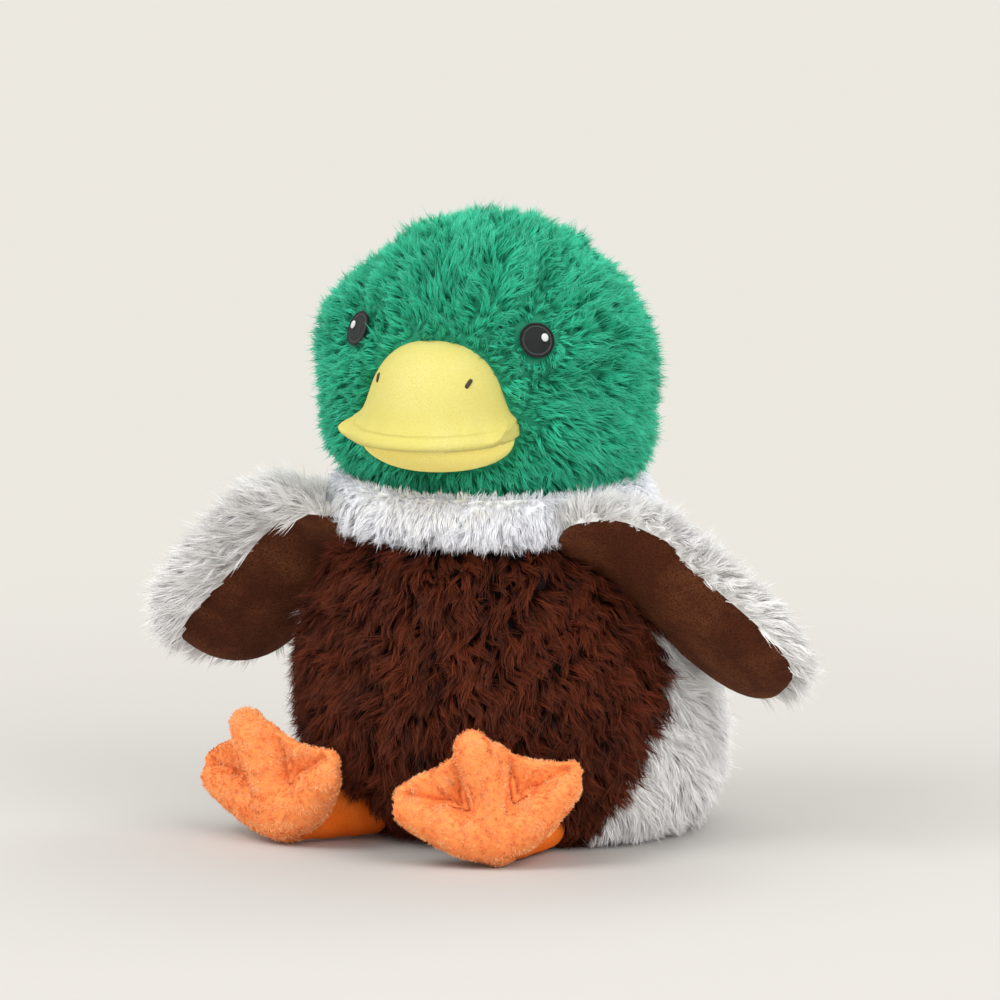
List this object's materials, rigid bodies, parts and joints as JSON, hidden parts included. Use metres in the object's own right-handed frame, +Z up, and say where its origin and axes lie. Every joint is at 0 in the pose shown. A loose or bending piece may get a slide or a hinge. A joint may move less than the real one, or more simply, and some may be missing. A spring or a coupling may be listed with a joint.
{
  "type": "plush duck",
  "caption": "Seated plush duck with a ball head, felt-soft bill, paddle wings, webbed feet turned up and a weighted bottom.",
  "frame": {"origin": "on the floor, under the middle of the whole toy's box", "axes": "+Z up, the duck faces -Y, +X towards the duck's own left"},
  "size_m": [0.3396, 0.2482, 0.313],
  "materials": {
    "green_plush": "long soft pile, brushed into small tufts",
    "brown_plush": "long shaggy pile that falls downward",
    "grey_plush": "long soft pile in loose tufts",
    "white_plush": "long soft pile in loose tufts",
    "yellow_velour": "short smooth pile",
    "brown_velour": "short smooth pile with brushed shading",
    "orange_velour": "short smooth pile with brushed shading",
    "black_thread": "satin stitches",
    "brown_thread": "satin stitches",
    "white_thread": "satin stitches",
    "fibre": "loose polyester fibre",
    "cotton": "plain woven cotton"
  },
  "bodies": {
    "body": {"belly_panel": "brown_plush", "back_panel_left": "grey_plush", "back_panel_right": "grey_plush", "seat_panel": "grey_plush", "grain_pouch": "cotton", "body_stuffing": "fibre"},
    "neck": {"collar_band": "white_plush"},
    "head": {"head_centre_panel": "green_plush", "head_panel_left": "green_plush", "head_panel_right": "green_plush", "head_stuffing": "fibre", "eye_left": "black_thread", "eye_glint_left": "white_thread", "eye_right": "black_thread", "eye_glint_right": "white_thread", "beak_upper": "yellow_velour", "beak_lower": "yellow_velour", "beak_lip": "yellow_velour", "beak_stuffing": "fibre", "nostril_left": "brown_thread", "nostril_right": "brown_thread"},
    "wing_left": {"wing_outer_left": "grey_plush", "wing_lining_left": "brown_velour", "wing_stuffing_left": "fibre"},
    "wing_right": {"wing_outer_right": "grey_plush", "wing_lining_right": "brown_velour", "wing_stuffing_right": "fibre"},
    "leg_left": {"leg_cover_left": "orange_velour", "leg_stuffing_left": "fibre"},
    "foot_left": {"foot_sole_left": "orange_velour", "foot_top_left": "orange_velour", "foot_stuffing_left": "fibre"},
    "leg_right": {"leg_cover_right": "orange_velour", "leg_stuffing_right": "fibre"},
    "foot_right": {"foot_sole_right": "orange_velour", "foot_top_right": "orange_velour", "foot_stuffing_right": "fibre"}
  },
  "joints": [
    {"name": "head_turn", "type": "hinge", "parent": "body", "child": "neck", "pos_m": [0, -0.00607, 0.17], "axis": [0, 0, 1], "range_deg": [-20, 20], "stiffness_Nm_per_rad": 0.6},
    {"name": "head_nod", "type": "hinge", "parent": "neck", "child": "head", "pos_m": [0, -0.00607, 0.233], "axis": [1, 0, 0], "range_deg": [-10, 8], "stiffness_Nm_per_rad": 1},
    {"name": "wing_lift_left", "type": "hinge", "parent": "body", "child": "wing_left", "pos_m": [0.08249, -0.02973, 0.15001], "axis": [0.2924, -0.9563, 0], "range_deg": [-2, 45], "stiffness_Nm_per_rad": 0.3},
    {"name": "wing_lift_right", "type": "hinge", "parent": "body", "child": "wing_right", "pos_m": [-0.08249, -0.02973, 0.15001], "axis": [0.2924, 0.9563, 0], "range_deg": [-2, 45], "stiffness_Nm_per_rad": 0.3},
    {"name": "leg_drop_left", "type": "hinge", "parent": "body", "child": "leg_left", "pos_m": [0.04146, -0.04041, 0.0132], "axis": [0.9903, -0.1392, 0], "range_deg": [0, 35], "stiffness_Nm_per_rad": 0.3},
    {"name": "leg_drop_right", "type": "hinge", "parent": "body", "child": "leg_right", "pos_m": [-0.05438, -0.03252, 0.0132], "axis": [0.7193, -0.6947, 0], "range_deg": [0, 35], "stiffness_Nm_per_rad": 0.3},
    {"name": "foot_fold_left", "type": "hinge", "parent": "leg_left", "child": "foot_left", "pos_m": [0.03534, -0.08398, 0.0132], "axis": [0.9272, 0.3746, 0], "range_deg": [0, 40], "stiffness_Nm_per_rad": 0.2},
    {"name": "foot_fold_right", "type": "hinge", "parent": "leg_right", "child": "foot_right", "pos_m": [-0.08494, -0.06418, 0.0132], "axis": [0.9272, -0.3746, 0], "range_deg": [0, 40], "stiffness_Nm_per_rad": 0.2}
  ]
}
